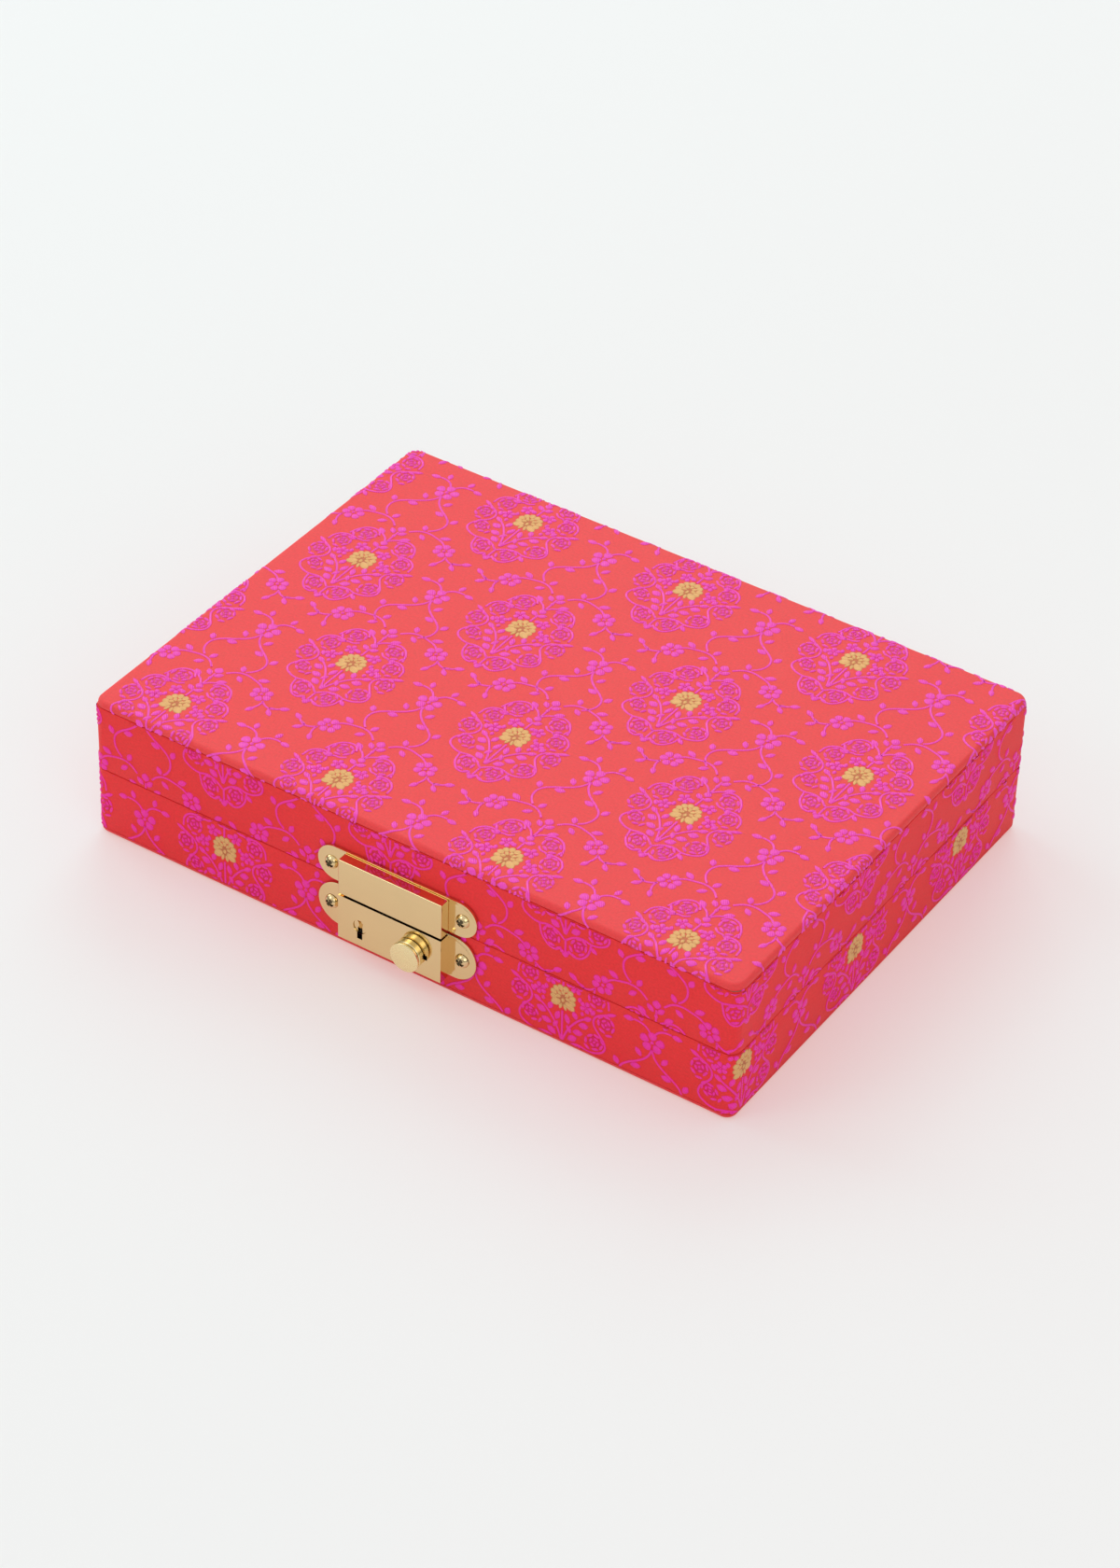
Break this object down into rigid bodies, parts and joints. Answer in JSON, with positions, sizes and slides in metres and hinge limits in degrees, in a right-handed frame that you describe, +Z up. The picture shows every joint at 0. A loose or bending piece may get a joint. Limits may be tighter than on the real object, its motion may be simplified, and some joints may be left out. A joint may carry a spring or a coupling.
{
  "type": "keepsake case",
  "caption": "Low oblong keepsake case covered in floral brocade, with a hinged lid, velvet lining and a brass lock with a sliding knob and key plug.",
  "frame": {"origin": "centre of the underside, on the table", "axes": "+X to the right seen from the front, along the front wall; +Y towards the hinged back; +Z up. The lock is on the -Y face"},
  "size_m": [0.26, 0.2046, 0.057],
  "materials": {
    "brocade": "coral red silk brocade",
    "velvet": "deep pink velvet",
    "board": "grey board",
    "brass": "polished",
    "steel": "plain sheet and wire"
  },
  "bodies": {
    "base": {"bottom_panel": "brocade", "bottom_board": "board", "base_front_wall": "board", "base_back_wall": "board", "base_left_wall": "board", "base_right_wall": "board", "base_band": "brocade", "base_front_liner": "velvet", "base_back_liner": "velvet", "base_left_liner": "velvet", "base_right_liner": "velvet", "base_pad": "velvet", "lock_plate": "brass", "lock_case": "brass", "lock_plate_screws": "brass", "bolt_spring": "steel", "left_base_leaf": "brass", "left_hinge_pin": "brass", "right_base_leaf": "brass", "right_hinge_pin": "brass", "base_leaf_screws": "brass"},
    "lid": {"top_panel": "brocade", "top_board": "board", "lid_front_wall": "board", "lid_back_wall": "board", "lid_left_wall": "board", "lid_right_wall": "board", "lid_band": "brocade", "lid_front_liner": "velvet", "lid_back_liner": "velvet", "lid_left_liner": "velvet", "lid_right_liner": "velvet", "lid_pad": "velvet", "hasp_plate": "brass", "hasp_case": "brass", "hasp_tongue": "steel", "tongue_rivets": "brass", "hasp_plate_screws": "brass", "left_lid_leaf": "brass", "right_lid_leaf": "brass", "lid_leaf_screws": "brass"},
    "bolt": {"slide_bolt": "steel", "slide_knob": "brass"},
    "plug": {"key_plug": "brass", "key_cam": "steel"}
  },
  "joints": [
    {"name": "lid_hinge", "type": "hinge", "parent": "base", "child": "lid", "pos_m": [0, 0.0971, 0.028], "axis": [-1, 0, 0], "range_deg": [0, 100]},
    {"name": "knob_slide", "type": "slide", "parent": "base", "child": "bolt", "axis": [1, 0, 0], "range_m": [0, 0.0055], "stiffness_N_per_m": 300, "springref_m": -0.004, "deforming": ["bolt_spring"]},
    {"name": "key_turn", "type": "hinge", "parent": "base", "child": "plug", "pos_m": [-0.0137, -0.098, 0.0162], "axis": [0, 1, 0], "range_deg": [0, 90]}
  ]
}
